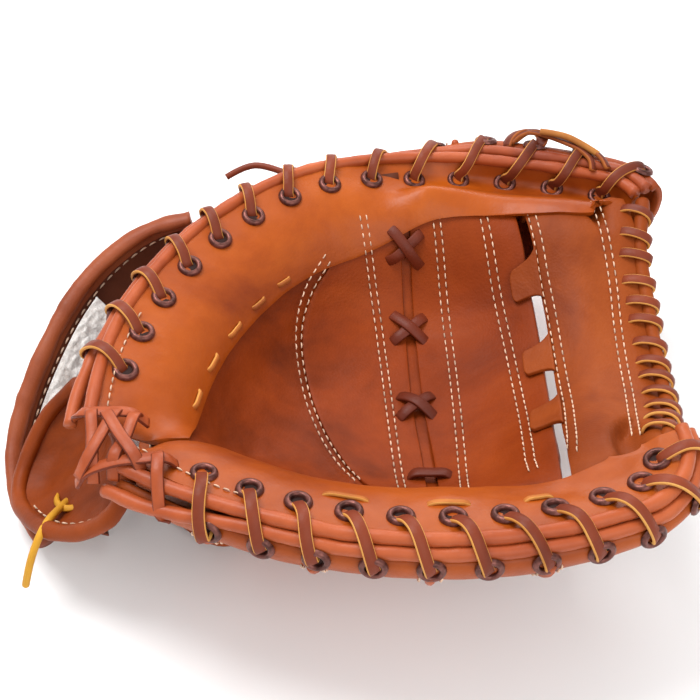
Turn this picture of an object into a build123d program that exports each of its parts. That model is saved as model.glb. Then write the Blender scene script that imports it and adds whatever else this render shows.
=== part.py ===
from build123d import *

from math import cos, hypot, pi, radians, sin, sqrt, tan
import os

# A padded baseball mitt with a laced web, lying on its back with the pocket facing up.
#
# Millimetres. +X runs from the wrist to the tip of the web, +Y from the finger side to the thumb side, +Z up.
# The origin is on the flat patch that the back of the mitt rests on.
#
# Both flanks are constant sections carried along a level rim line of tangent arcs. A section is drawn in
# (inward, height) measured from the rim line: inward is towards the pocket, height is above the rim.

# ---- driving dimensions ----------------------------------------------------------------------------------
RIM_HEIGHT = 98.0  # rim line above the table
LEATHER = 3.0  # palm and back leather
LINING = 1.5  # glove lining inside the hand space
FELT = 10.0  # felt padding under the palm
WELT_RADIUS = 2.8  # rolled leather welts round the rim
LACE_WIDTH = 5.0
LACE_THICK = 1.4
FIT_GAP = 0.3  # clearance between neighbouring layers

# Closing hinge: a level line through the palm, from the heel notch to the middle of the web.
HINGE_POINT = (-98.0, -64.0)
HINGE_HEADING = 14.0
HINGE_Z = 42.0
CLOSING = 28.0  # degrees the finger side folds up towards the thumb side

# Rim lines: start point, heading in degrees, and arcs as (radius, degrees) for each zone.
THUMB_START = (-108.0, -48.5)
THUMB_HEADING = 90.0
THUMB_ZONES = {"heel": ((185, 41),), "bowl": ((139, 42),), "tube": ((139, 15), (460, 9)), "tip": ((20, 60),)}
FINGER_START = (-85.0, -78.0)
FINGER_HEADING = -32.0
FINGER_ZONES = {"bowl": ((220, 32),), "tube": ((220, 12), (133, 15)), "tip": ((36, 70),)}
RIGHT, LEFT = -1, 1  # which way each rim line turns: the thumb's right, the finger's left

# Section curves, as (inward, height) from the rim line.
PALM_CURVE = ((6.5, -2), (13, -3.9), (20, -6.5), (30, -13), (38, -22), (45, -34), (52, -46), (62, -55), (74, -60))
BACK_CURVE = ((-4.5, -7.5), (-6.2, -14.5), (-4, -24), (5, -36), (20, -51), (36, -67), (50, -81), (62, -91.5), (74, -98))
TUBE_BACK_CURVE = ((-4.5, -7.5), (-6.2, -14.5), (-4, -24), (5, -36), (18, -49), (30, -56), (42, -54), (49, -46))
BOWL_REACH = 74.0  # how far in the padded bowl goes
TUBE_REACH = 47.0  # how far in it goes where the web takes over
TUBE_FELT_REACH = 34.0
STALL_REACH = 57.0  # beyond the end of the stall's curve
TIP_REACH = {RIGHT: 17.0, LEFT: 32.0}  # less than the radius of each tip's arc
FELT_START = 9.0
LINING_START = 12.0
PALM_WELT_AT = (3.0, 0.0)
BACK_WELT_AT = (-2.2, -4.4)
PLATE_HEEL_X = -103.5  # where the back of the hand ends at the wrist
PLATE_TOP_Y = 38.0
PLATE_BEVEL = 20.0
FOLD_LENGTH = 135.0  # along the fold, from the heel notch to the web

# Eyelets, and the laces between them
EYELET_RADIUS = 5.4
EYELET_BORE = 3.1
EYELET_LIP = 1.5
EYELET_BARREL = 3.6
EYELET_DEPTH = 2.4
EYELET_PITCH = {RIGHT: 24.0, LEFT: 21.0}
PALM_EYELET_AT = (13.0, -3.9)
PALM_EYELET_TILT = 18.5  # degrees that its bore leans towards the pocket
BACK_EYELET_AT = (-6.2, -14.5)
BACK_EYELET_TILT = -90.0
FIRST_EYELET = {RIGHT: 24.5, LEFT: 26.0}  # along each rim
RIM_END = {RIGHT: 2.0, LEFT: 4.0}  # bare stretch at each tip
LACE_SHIFT = 12.0  # how far along the rim a lace travels from its palm eyelet to its back eyelet
LACE_ARCH = (
    (13, -6.5), (12.4, 0), (8.5, 4.2), (2, 5.4), (-5, 3.6), (-8.6, -3), (-9.6, -11), (-9, -14.5), (-3.6, -14.5)
)

# Web, with heights from the rim
WEB_INNER_X = (36.0, 85.0)
WEB_INNER_Y = (-53.0, 64.0)
WEB_OUTER_X = (91.0, 132.0)
WEB_OUTER_Y = (-54.0, 55.0)
WEB_THICK = 3.5
WEB_EDGE_H = -38.0
WEB_SAG = 22.0
WEB_RISE = 14.0  # how much the outer panel climbs towards its free edge
TAB_LENGTH = 14.0
TAB_WIDTH = 18.0
TAB_PLACES = {RIGHT: (22.0, 45.0), LEFT: (-38.0,)}
BINDING_X = 138.5
BINDING_RADIUS = 3.6
EDGE_LACE_PITCH = 10.5
EDGE_GAP = (-12.5, 3.5)  # the binding stops clear of the fold
CROSS_LACE_PLACES = {RIGHT: (4.0, 29.0, 52.0), LEFT: (-42.0,)}

# Heel laces
HEEL_LACE_HEIGHTS = (74.0, 84.0)
HEEL_LACE_LENGTH = 16.0

# Wrist strap, on a circle across the mitt; its angles go from straight down towards the thumb side
STRAP_X = (-152.0, -104.5)
STRAP_RADIUS = 78.0
STRAP_CENTRE = (-5.0, 78.0)  # (y, z)
STRAP_THICK = 3.5
STRAP_ANGLES = (-12.0, 84.0)
FLEECE_THICK = 7.0
FLAP_X = (-150.0, -114.0)
FLAP_ANGLES = (-54.0, -15.5)
FLAP_THICK = 7.0

# Loose lace ends: routes from where each leaves the leather
TAIL_RADIUS = 1.7
TAILS = {
    "rim_tail_thumb": ((96.0, 128.0, 103.0), (104.5, 125.0, 104.0), (113.5, 121.5, 102.5), (122.0, 116.5, 99.5)),
    "bowl_tail_thumb": ((-32.0, 112.0, 92.0), (-42.0, 114.5, 94.0), (-53.0, 113.5, 93.0), (-62.0, 109.0, 89.0)),
    "flap_tail": (
        (-126.0, -46.0, 30.5), (-128.0, -56.0, 37.0), (-131.0, -66.0, 41.5), (-135.0, -75.5, 37.0),
        (-139.0, -80.0, 26.0), (-142.0, -80.5, 15.0)
    ),
}

UP = Vector(0, 0, 1)

os.makedirs("parts", exist_ok=True)


def save(builder, name):
    """Labels a finished sub-part and writes its STEP file."""
    builder.part.label = name
    export_step(builder.part, f"parts/{name}.step")


# ---- rim lines -------------------------------------------------------------------------------------------
def direction(heading):
    return Vector(cos(radians(heading)), sin(radians(heading)), 0)


def rim_wires(start, heading, zones, turn):
    """The rim line of one side: {zone: wire}, each zone carrying on where the last one ended."""
    point = Vector(start[0], start[1], RIM_HEIGHT)
    tangent = direction(heading)
    wires = {}
    for zone, arcs in zones.items():
        with BuildLine() as line:
            for radius, angle in arcs:
                arc = JernArc(start=point, tangent=tangent, radius=radius, arc_size=turn * angle)
                point = arc @ 1
                tangent = arc % 1
        wires[zone] = line.wires()[0]
    return wires


def section_plane(wire, distance, turn):
    """The plane across the rim at a distance along a wire: x inward, y up."""
    point = wire.position_at(distance, position_mode=PositionMode.LENGTH)
    tangent = wire.tangent_at(distance, position_mode=PositionMode.LENGTH)
    inward = Vector(-tangent.Y, tangent.X, 0) * turn
    return Plane(origin=point, x_dir=inward, z_dir=inward.cross(UP))


RIMS = {
    RIGHT: rim_wires(THUMB_START, THUMB_HEADING, THUMB_ZONES, RIGHT),
    LEFT: rim_wires(FINGER_START, FINGER_HEADING, FINGER_ZONES, LEFT),
}
SIDE = {RIGHT: "thumb", LEFT: "finger"}


# ---- the two halves and the fold between them --------------------------------------------------------------
AXIS = direction(HINGE_HEADING)
ACROSS = Vector(-AXIS.Y, AXIS.X, 0)
FOLD_ORIGIN = Vector(HINGE_POINT[0], HINGE_POINT[1], 0)
FOLD_PLANE = Plane(origin=FOLD_ORIGIN, x_dir=ACROSS, z_dir=ACROSS.cross(UP))


def half_space(side):
    """Everything on one side of the fold, less its share of the wedge that closing needs."""
    top, bottom, wide = 150.0, -20.0, 400.0
    above = FIT_GAP + (top - HINGE_Z) * tan(radians(CLOSING / 2 + 0.7))
    outline = [(FIT_GAP, bottom), (FIT_GAP, HINGE_Z), (above, top), (wide, top), (wide, bottom)]
    with BuildPart() as keep:
        with BuildSketch(FOLD_PLANE):
            with BuildLine():
                Polyline([(side * x, y) for x, y in outline], close=True)
            make_face()
        extrude(amount=500, both=True)
    return keep.part


SPACE = {RIGHT: half_space(1), LEFT: half_space(-1)}


# ---- layers of the flanks ----------------------------------------------------------------------------------
def moved(points, distance):
    """The same curve moved sideways; positive is to the right of its run."""
    result = []
    for i, (x, y) in enumerate(points):
        before = points[max(i - 1, 0)]
        after = points[min(i + 1, len(points) - 1)]
        dx, dy = after[0] - before[0], after[1] - before[1]
        length = hypot(dx, dy)
        result.append((x + distance * dy / length, y - distance * dx / length))
    return result


def sweep_layer(turn, zone, curve, near, far, reach, begin=-20.0):
    """Adds the layer between two offsets of a section curve, along one zone of the rim."""
    wire = RIMS[turn][zone]
    inner = moved(curve, near)
    outer = moved(curve, far)
    with BuildSketch(section_plane(wire, 0, turn)) as section:
        with BuildLine():
            Spline(inner)
            Line(inner[-1], outer[-1])
            Spline(outer)
            Line(outer[0], inner[0])
        make_face()
        with Locations(((begin + reach) / 2, -50)):
            Rectangle(reach - begin, 140, mode=Mode.INTERSECT)
    sweep(section.sketch, path=wire)


def bowl_arc(zone, start=None):
    """The inner border of one zone of the thumb side's padded bowl, in plan, just clear of it."""
    wire = RIMS[RIGHT][zone]
    entry = section_plane(wire, 0, RIGHT)
    inner = entry.origin + entry.x_dir * (BOWL_REACH + FIT_GAP)
    tangent = wire % 0
    ((radius, angle),) = THUMB_ZONES[zone]
    return JernArc(
        start=start or (inner.X, inner.Y),
        tangent=(tangent.X, tangent.Y),
        radius=radius - BOWL_REACH - FIT_GAP,
        arc_size=RIGHT * angle,
    )


def pocket_floor(top, thick):
    """Adds a level plate that fills the middle of the bowl on the thumb side of the fold."""
    corner = FOLD_ORIGIN + AXIS * FOLD_LENGTH
    with BuildSketch(Plane.XY.offset(RIM_HEIGHT + top - thick)) as outline:
        with BuildLine():
            heel = bowl_arc("heel")
            bowl = bowl_arc("bowl")
            Line(heel @ 1, bowl @ 0)
            Polyline(bowl @ 1, (corner.X, corner.Y), heel @ 0)
        make_face()
    extrude(outline.sketch, amount=thick)
    add(SPACE[RIGHT], mode=Mode.INTERSECT)


def hand_back(thick):
    """Adds the flat patch under the back of the hand, from the bowl to the wrist."""
    corner = FOLD_ORIGIN + AXIS * FOLD_LENGTH
    wrist = FOLD_ORIGIN + AXIS * ((PLATE_HEEL_X - HINGE_POINT[0]) / AXIS.X)
    with BuildSketch() as outline:
        with BuildLine():
            bowl = bowl_arc("bowl")
            start = bowl @ 0
            Polyline(
                bowl @ 1,
                (corner.X, corner.Y),
                (wrist.X, wrist.Y),
                (PLATE_HEEL_X, PLATE_TOP_Y),
                (start.X - PLATE_BEVEL, PLATE_TOP_Y),
                start,
            )
        make_face()
    extrude(outline.sketch, amount=thick)
    add(SPACE[RIGHT], mode=Mode.INTERSECT)


# ---- eyelets and laces along the rim -----------------------------------------------------------------------
def rim_places(turn, shift=0.0):
    """Each eyelet's place on the rim, as (wire, distance along it)."""
    wires = list(RIMS[turn].values())
    total = sum(wire.length for wire in wires)
    places = []
    at = FIRST_EYELET[turn] + shift
    while at < total - RIM_END[turn]:
        rest = at
        for wire in wires:
            if rest <= wire.length:
                places.append((wire, rest))
                break
            rest -= wire.length
        at += EYELET_PITCH[turn]
    return places


def eyelet_planes(turn, place, tilt, shift):
    """The plane of each eyelet: z runs out of the leather along its bore."""
    planes = []
    for wire, distance in rim_places(turn, shift):
        section = section_plane(wire, distance, turn)
        out = UP * cos(radians(tilt)) + section.x_dir * sin(radians(tilt))
        origin = section.origin + section.x_dir * place[0] + UP * place[1]
        planes.append(Plane(origin=origin, x_dir=section.z_dir, z_dir=out))
    return planes


PALM_EYELETS = {turn: eyelet_planes(turn, PALM_EYELET_AT, PALM_EYELET_TILT, 0) for turn in (RIGHT, LEFT)}
BACK_EYELETS = {turn: eyelet_planes(turn, BACK_EYELET_AT, BACK_EYELET_TILT, LACE_SHIFT) for turn in (RIGHT, LEFT)}


def punch(planes):
    """Cuts the eyelets' holes through the leather being built."""
    for plane in planes:
        with BuildSketch(plane.offset(-LEATHER * 2)) as hole:
            Circle(EYELET_BARREL + FIT_GAP)
        extrude(hole.sketch, amount=LEATHER * 4, mode=Mode.SUBTRACT)


def build_eyelets(planes):
    """A rolled brass ring with a short barrel through the leather, for each plane."""
    with BuildPart() as one:
        with BuildSketch(Plane.XZ):
            with BuildLine():
                Polyline(
                    (EYELET_BORE, FIT_GAP * 2),
                    (EYELET_BORE, -EYELET_DEPTH),
                    (EYELET_BARREL, -EYELET_DEPTH),
                    (EYELET_BARREL, FIT_GAP),
                    (EYELET_RADIUS, FIT_GAP),
                )
                middle = ((EYELET_RADIUS + EYELET_BORE) / 2, EYELET_LIP)
                ThreePointArc((EYELET_RADIUS, FIT_GAP), middle, (EYELET_BORE, FIT_GAP * 2))
            make_face()
        revolve(axis=Axis.Z)
    with BuildPart() as eyelets:
        for plane in planes:
            add(plane.location * one.part)
    return eyelets


def build_rim_lace(turn):
    """A flat loop over both welts from each palm eyelet to its back eyelet, leaning along the rim."""
    across = PALM_EYELET_AT[0] - BACK_EYELET_AT[0]
    stretch = hypot(across, LACE_SHIFT) / across
    middle = (PALM_EYELET_AT[0] + BACK_EYELET_AT[0]) / 2
    with BuildPart() as lace:
        for wire, distance in rim_places(turn)[: len(BACK_EYELETS[turn])]:
            section = section_plane(wire, distance, turn)
            tangent = wire.tangent_at(distance, position_mode=PositionMode.LENGTH)
            lean = (section.x_dir * across - tangent * LACE_SHIFT).normalized()
            origin = section.origin + section.x_dir * middle + tangent * (LACE_SHIFT / 2)
            with BuildSketch(Plane(origin=origin, x_dir=lean, z_dir=lean.cross(UP))):
                with BuildLine():
                    FilletPolyline([((x - middle) * stretch, y) for x, y in LACE_ARCH], radius=LACE_THICK)
                trace(line_width=LACE_THICK)
            extrude(amount=LACE_WIDTH / 2, both=True)
    return lace


def build_welt(turn, place):
    """One rolled welt along the whole rim."""
    with BuildPart() as welt:
        for wire in RIMS[turn].values():
            with BuildSketch(section_plane(wire, 0, turn)) as section:
                with Locations(place):
                    Circle(WELT_RADIUS)
            sweep(section.sketch, path=wire)
    return welt


# ---- web ---------------------------------------------------------------------------------------------------
def sag_centre(y_range):
    """Centre (y, height) and radius of the arc that a web panel hangs in."""
    half = (y_range[1] - y_range[0]) / 2
    radius = (half**2 + WEB_SAG**2) / (2 * WEB_SAG)
    height = RIM_HEIGHT + WEB_EDGE_H - WEB_SAG + radius
    return (y_range[0] + half, height), radius


def hang(y_range, y, lift):
    """The point at a distance y across a panel and lift above it, as (y, height), with the slope there."""
    (centre_y, centre_z), radius = sag_centre(y_range)
    lean = (y - centre_y) / radius
    reach = radius - lift
    return (centre_y + reach * lean, centre_z - reach * sqrt(1 - lean**2)), lean


def panel_slice(x, y_range, lift, thick, rise):
    """Adds a curved sheet from x[0] to x[1], its top at lift above the web's surface, climbing by rise."""
    (centre_y, centre_z), radius = sag_centre((WEB_INNER_Y if rise == 0 else WEB_OUTER_Y))
    edges = []
    for depth in (lift, lift - thick):
        reach = radius - depth
        ends = [(y, centre_z - sqrt(reach**2 - (y - centre_y) ** 2)) for y in y_range]
        low_y = (y_range[0] + y_range[1]) / 2
        middle = (low_y, centre_z - sqrt(reach**2 - (low_y - centre_y) ** 2))
        edges.append((ends[0], middle, ends[1]))
    top, bottom = edges
    with BuildSketch(Plane(origin=(x[0], 0, 0), x_dir=(0, 1, 0), z_dir=(1, 0, 0))) as outline:
        with BuildLine():
            ThreePointArc(*top)
            Line(top[2], bottom[2])
            ThreePointArc(*bottom)
            Line(bottom[0], top[0])
        make_face()
    run = x[1] - x[0]
    extrude(outline.sketch, amount=hypot(run, rise), dir=Vector(run, 0, rise).normalized())


def edge_point(y, lift=0.0):
    """A point on the web's free edge, with the edge's slope there."""
    (edge_y, edge_z), lean = hang(WEB_OUTER_Y, y, lift)
    return Vector(BINDING_X, edge_y, edge_z + WEB_RISE), lean


# ---- build both flanks -------------------------------------------------------------------------------------
FELT_TOP = LEATHER + FIT_GAP
FELT_BOTTOM = FELT_TOP + FELT
LINING_TOP = FELT_BOTTOM + FIT_GAP
FLOOR = PALM_CURVE[-1][1]

for turn in (RIGHT, LEFT):
    side = SIDE[turn]
    bowl_zones = [zone for zone in RIMS[turn] if zone in ("heel", "bowl")]

    with BuildPart() as palm_leather:
        for zone in bowl_zones:
            sweep_layer(turn, zone, PALM_CURVE, 0, LEATHER, BOWL_REACH)
        sweep_layer(turn, "tube", PALM_CURVE, 0, LEATHER, TUBE_REACH)
        sweep_layer(turn, "tip", PALM_CURVE, 0, LEATHER, TIP_REACH[turn])
        punch(PALM_EYELETS[turn])
        add(SPACE[turn], mode=Mode.INTERSECT)
    save(palm_leather, f"palm_leather_{side}")

    with BuildPart() as felt:
        for zone in bowl_zones:
            sweep_layer(turn, zone, PALM_CURVE, FELT_TOP, FELT_BOTTOM, BOWL_REACH, FELT_START)
        sweep_layer(turn, "tube", PALM_CURVE, FELT_TOP, FELT_BOTTOM, TUBE_FELT_REACH, FELT_START)
        add(SPACE[turn], mode=Mode.INTERSECT)
    save(felt, f"felt_padding_{side}")

    with BuildPart() as lining:
        for zone in bowl_zones:
            sweep_layer(turn, zone, PALM_CURVE, LINING_TOP, LINING_TOP + LINING, BOWL_REACH, LINING_START)
        add(SPACE[turn], mode=Mode.INTERSECT)
    save(lining, f"glove_lining_{side}")

    with BuildPart() as back_leather:
        sweep_layer(turn, "bowl", BACK_CURVE, -LEATHER, 0, BOWL_REACH)
        punch(BACK_EYELETS[turn])
        add(SPACE[turn], mode=Mode.INTERSECT)
    save(back_leather, f"back_leather_{side}")

    with BuildPart() as stall_leather:
        sweep_layer(turn, "tube", TUBE_BACK_CURVE, -LEATHER, 0, STALL_REACH)
        sweep_layer(turn, "tip", TUBE_BACK_CURVE, -LEATHER, 0, TIP_REACH[turn])
        punch(BACK_EYELETS[turn])
        add(SPACE[turn], mode=Mode.INTERSECT)
    save(stall_leather, f"stall_leather_{side}")

    save(build_welt(turn, PALM_WELT_AT), f"palm_welt_{side}")
    save(build_welt(turn, BACK_WELT_AT), f"back_welt_{side}")
    save(build_eyelets(PALM_EYELETS[turn]), f"palm_eyelets_{side}")
    save(build_eyelets(BACK_EYELETS[turn]), f"back_eyelets_{side}")
    save(build_rim_lace(turn), f"rim_lace_{side}")

# ---- floor of the pocket and back of the hand, on the thumb side -------------------------------------------
with BuildPart() as palm_floor:
    pocket_floor(FLOOR, LEATHER)
save(palm_floor, "palm_floor")

with BuildPart() as floor_felt:
    pocket_floor(FLOOR - FELT_TOP, FELT)
save(floor_felt, "floor_felt")

with BuildPart() as back_plate:
    hand_back(LEATHER)
save(back_plate, "hand_back_plate")

# ---- web, split where the fold crosses it ------------------------------------------------------------------
for turn in (RIGHT, LEFT):
    side = SIDE[turn]

    with BuildPart() as inner_panel:
        panel_slice(WEB_INNER_X, WEB_INNER_Y, 0, WEB_THICK, 0)
        add(SPACE[turn], mode=Mode.INTERSECT)
    save(inner_panel, f"web_inner_panel_{side}")

    with BuildPart() as outer_panel:
        panel_slice(WEB_OUTER_X, WEB_OUTER_Y, 0, WEB_THICK, WEB_RISE)
        add(SPACE[turn], mode=Mode.INTERSECT)
    save(outer_panel, f"web_outer_panel_{side}")

    with BuildPart() as tabs:
        for y in TAB_PLACES[turn]:
            across = (y - TAB_WIDTH / 2, y + TAB_WIDTH / 2)
            inner_end = WEB_INNER_X[1] - TAB_LENGTH
            panel_slice((inner_end, WEB_INNER_X[1]), across, WEB_THICK + FIT_GAP, WEB_THICK, 0)
    save(tabs, f"web_tabs_{side}")

    with BuildPart() as cross_lace:
        for y in CROSS_LACE_PLACES[turn]:
            (at_y, at_z), lean = hang(WEB_INNER_Y, y, LACE_THICK + FIT_GAP)
            normal = Vector(0, -lean, sqrt(1 - lean**2))
            plane = Plane(origin=(WEB_INNER_X[0] + 7, at_y, at_z), x_dir=(1, 0, 0), z_dir=normal)
            with BuildSketch(plane):
                Rectangle(13, LACE_WIDTH, rotation=38)
                Rectangle(13, LACE_WIDTH, rotation=-38)
            extrude(amount=LACE_THICK)
    save(cross_lace, f"web_cross_lace_{side}")

    edge_ends = (EDGE_GAP[1], WEB_OUTER_Y[1]) if turn == RIGHT else (WEB_OUTER_Y[0], EDGE_GAP[0])
    middle_y = sum(edge_ends) / 2
    with BuildPart() as binding:
        with BuildLine() as edge:
            ThreePointArc(edge_point(edge_ends[0])[0], edge_point(middle_y)[0], edge_point(edge_ends[1])[0])
        with BuildSketch(Plane(origin=edge.line @ 0, z_dir=edge.line % 0)):
            Circle(BINDING_RADIUS)
        sweep(path=edge.line)
    save(binding, f"web_edge_binding_{side}")

    with BuildPart() as edge_lace:
        count = int((edge_ends[1] - edge_ends[0]) // EDGE_LACE_PITCH)
        for i in range(count):
            point, lean = edge_point(edge_ends[0] + EDGE_LACE_PITCH * (i + 0.5))
            tangent = Vector(0, sqrt(1 - lean**2), lean)
            with BuildSketch(Plane(origin=point, z_dir=tangent)):
                Circle(BINDING_RADIUS + FIT_GAP + LACE_THICK)
                Circle(BINDING_RADIUS + FIT_GAP, mode=Mode.SUBTRACT)
            extrude(amount=LACE_WIDTH / 2, both=True)
    save(edge_lace, f"web_edge_lace_{side}")

# ---- heel laces beside the notch ---------------------------------------------------------------------------
for turn, start, heading in ((RIGHT, THUMB_START, THUMB_HEADING), (LEFT, FINGER_START, FINGER_HEADING)):
    section = section_plane(RIMS[turn]["heel" if turn == RIGHT else "bowl"], 0, turn)
    back = direction(heading) * -1
    with BuildPart() as heel_lace:
        for height in HEEL_LACE_HEIGHTS:
            offset = section.x_dir * 14 + back * (FIT_GAP + LACE_THICK / 2) + UP * (height - RIM_HEIGHT)
            plane = Plane(origin=section.origin + offset, x_dir=section.x_dir, z_dir=back)
            with BuildSketch(plane):
                Rectangle(HEEL_LACE_LENGTH, LACE_WIDTH)
            extrude(amount=LACE_THICK / 2, both=True)
        add(SPACE[turn], mode=Mode.INTERSECT)
    save(heel_lace, f"heel_lace_{SIDE[turn]}")

# ---- wrist strap -------------------------------------------------------------------------------------------
STRAP_PLANE = Plane(origin=(0, *STRAP_CENTRE), x_dir=(0, 1, 0), z_dir=(1, 0, 0))


def bend(x, angles, outer, thick):
    """Adds a band bent on the strap's circle, from x[0] to x[1]."""
    middle = outer - thick / 2
    with BuildSketch(STRAP_PLANE.offset(x[0])) as band:
        with BuildLine():
            CenterArc((0, 0), middle, angles[0] - 90, angles[1] - angles[0])
        trace(line_width=thick)
    extrude(band.sketch, amount=x[1] - x[0])


with BuildPart() as strap:
    bend(STRAP_X, STRAP_ANGLES, STRAP_RADIUS, STRAP_THICK)
save(strap, "wrist_strap")

with BuildPart() as fleece:
    bend((STRAP_X[0] + 5, STRAP_X[1] - 5), (STRAP_ANGLES[0] + 3, 50), STRAP_RADIUS - STRAP_THICK - FIT_GAP, FLEECE_THICK)
save(fleece, "strap_fleece")

with BuildPart() as strap_roll:
    arc_radius = STRAP_RADIUS - STRAP_THICK / 2
    with BuildLine(STRAP_PLANE.offset(STRAP_X[0] - WELT_RADIUS - FIT_GAP)) as run:
        CenterArc((0, 0), arc_radius, STRAP_ANGLES[0] - 90, STRAP_ANGLES[1] - STRAP_ANGLES[0])
    with BuildSketch(Plane(origin=run.line @ 0, z_dir=run.line % 0)):
        Circle(WELT_RADIUS - 1.1)
    sweep(path=run.line)
save(strap_roll, "strap_roll")

with BuildPart() as flap:
    bend(FLAP_X, FLAP_ANGLES, STRAP_RADIUS, FLAP_THICK)
    fillet(flap.edges().filter_by(Axis.X, reverse=True).group_by(SortBy.LENGTH)[0], radius=1)
save(flap, "wrist_flap")

# ---- loose lace ends ---------------------------------------------------------------------------------------
for name, route in TAILS.items():
    points = [Vector(*point) for point in route]
    radii = []
    for before, at, after in zip(points, points[1:], points[2:]):
        arriving, leaving = at - before, after - at
        turn_angle = radians(arriving.get_angle(leaving))
        radii.append(0.45 * min(arriving.length, leaving.length) / tan(turn_angle / 2))
    print(name, "bend radii", [round(radius, 1) for radius in radii])
    with BuildPart() as tail:
        with BuildLine() as path:
            FilletPolyline(*points, radius=radii)
        with BuildSketch(Plane(origin=path.line @ 0, z_dir=path.line % 0)):
            Circle(TAIL_RADIUS)
        sweep(path=path.line)
    save(tail, name)
    length = path.wires()[0].length
    print(name, "length", round(length, 1), "volume ratio", round(tail.part.volume / (pi * TAIL_RADIUS**2 * length), 4))
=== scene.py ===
import bpy
import math
import numpy as np
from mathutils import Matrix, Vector, noise


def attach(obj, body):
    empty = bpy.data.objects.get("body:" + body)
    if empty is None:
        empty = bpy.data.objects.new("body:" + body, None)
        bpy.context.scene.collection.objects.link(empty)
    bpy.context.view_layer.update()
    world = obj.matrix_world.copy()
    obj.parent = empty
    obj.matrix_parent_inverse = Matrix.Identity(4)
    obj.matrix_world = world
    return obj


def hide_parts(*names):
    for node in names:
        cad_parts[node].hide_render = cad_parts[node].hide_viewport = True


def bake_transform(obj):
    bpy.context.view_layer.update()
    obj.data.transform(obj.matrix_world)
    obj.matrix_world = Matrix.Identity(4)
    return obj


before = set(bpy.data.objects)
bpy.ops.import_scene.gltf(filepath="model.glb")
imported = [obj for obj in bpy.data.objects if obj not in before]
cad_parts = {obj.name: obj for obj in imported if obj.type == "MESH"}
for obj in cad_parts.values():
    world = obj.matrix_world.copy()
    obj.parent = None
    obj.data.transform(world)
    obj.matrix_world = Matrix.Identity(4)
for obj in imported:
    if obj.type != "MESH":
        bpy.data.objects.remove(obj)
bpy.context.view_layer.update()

# Millimetres inside this script, in the frame's own axes; meshes are scaled to metres when they are made.
MM = 0.001
THUMB, FINGER = "thumb_side", "finger_side"
SIDE = {THUMB: "thumb", FINGER: "finger"}
SIGN = {THUMB: 1, FINGER: -1}  # which way across the fold each side lies
RIM_HEIGHT = 98.0
FOLD_POINT = np.array((-98.0, -64.0))
FOLD_HEADING = math.radians(14.0)
FOLD_ACROSS = np.array((-math.sin(FOLD_HEADING), math.cos(FOLD_HEADING)))
PALM_PROFILE = (
    (0, 0), (6.5, -2), (13, -3.9), (20, -6.5), (30, -13), (38, -22), (45, -34), (52, -46), (62, -55), (74, -60),
    (90, -61.5), (140, -62),
)
UP = np.array((0.0, 0.0, 1.0))
PALM_ROLL = (0.2, -0.5)
BACK_ROLL = (-3.8, -4.6)
ROLL_RADIUS = 2.9
PALM_EYELET = 11.6
BACK_EYELET = (-7.6, -9.4)
EYELET_PITCH = {THUMB: 24.0, FINGER: 21.0}
LACE_SHIFT = 12.0
LACE_WIDTH = 5.0
LACE_THICK = 1.5
CREASE = 42.0  # how far in each flank reaches
THICK_LEATHER = 3.0
SHELL_LEATHER = 2.6
TAB_LEATHER = 2.2
LINING_LEATHER = 1.6
EDGE_ROUND = 0.6


# ---- camera, floor and light -------------------------------------------------------------------------------
CAMERA_ELEVATION = math.radians(46.0)
CAMERA_DISTANCE = 0.534  # metres from the middle of the rim
CAMERA_LENS = 63.15
CAMERA_SHIFT = -0.0414


def place_camera():
    """Looks along +Y and down at the middle of the rim."""
    data = bpy.data.cameras.new("camera")
    data.sensor_width = 36.0
    data.lens = CAMERA_LENS
    data.shift_y = CAMERA_SHIFT
    camera = bpy.data.objects.new("camera", data)
    bpy.context.scene.collection.objects.link(camera)
    target = Vector((0, 0, RIM_HEIGHT * MM))
    back = Vector((0, -math.cos(CAMERA_ELEVATION), math.sin(CAMERA_ELEVATION)))
    camera.location = target + back * CAMERA_DISTANCE
    camera.rotation_euler = (-back).to_track_quat("-Z", "Y").to_euler()
    bpy.context.scene.camera = camera


def area_light(name, place, size, power, colour=(1, 1, 1)):
    data = bpy.data.lights.new(name, "AREA")
    data.shape = "DISK"
    data.size = size
    data.energy = power
    data.color = colour
    light = bpy.data.objects.new(name, data)
    light.location = place
    light.rotation_euler = (Vector((0, 0, 0.05)) - Vector(place)).to_track_quat("-Z", "Y").to_euler()
    bpy.context.scene.collection.objects.link(light)


def place_lights():
    area_light("key_light", (-0.35, 0.25, 1.1), 0.6, 12.0)
    area_light("fill_light", (0.5, -0.8, 0.8), 0.9, 5.0)
    area_light("rim_light", (0.2, 0.9, 0.6), 0.7, 4.0)
    world = bpy.data.worlds.new("world")
    world.use_nodes = True
    background = world.node_tree.nodes["Background"]
    background.inputs["Color"].default_value = (1, 1, 1, 1)
    background.inputs["Strength"].default_value = 0.85
    bpy.context.scene.world = world
    bpy.context.scene.view_settings.view_transform = "Standard"


# ---- materials ---------------------------------------------------------------------------------------------
def srgb(*rgb):
    """An sRGB colour given as 0-255, as linear RGBA."""
    return tuple((c / 255 / 12.92) if c <= 10 else ((c / 255 + 0.055) / 1.055) ** 2.4 for c in rgb) + (1.0,)


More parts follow.
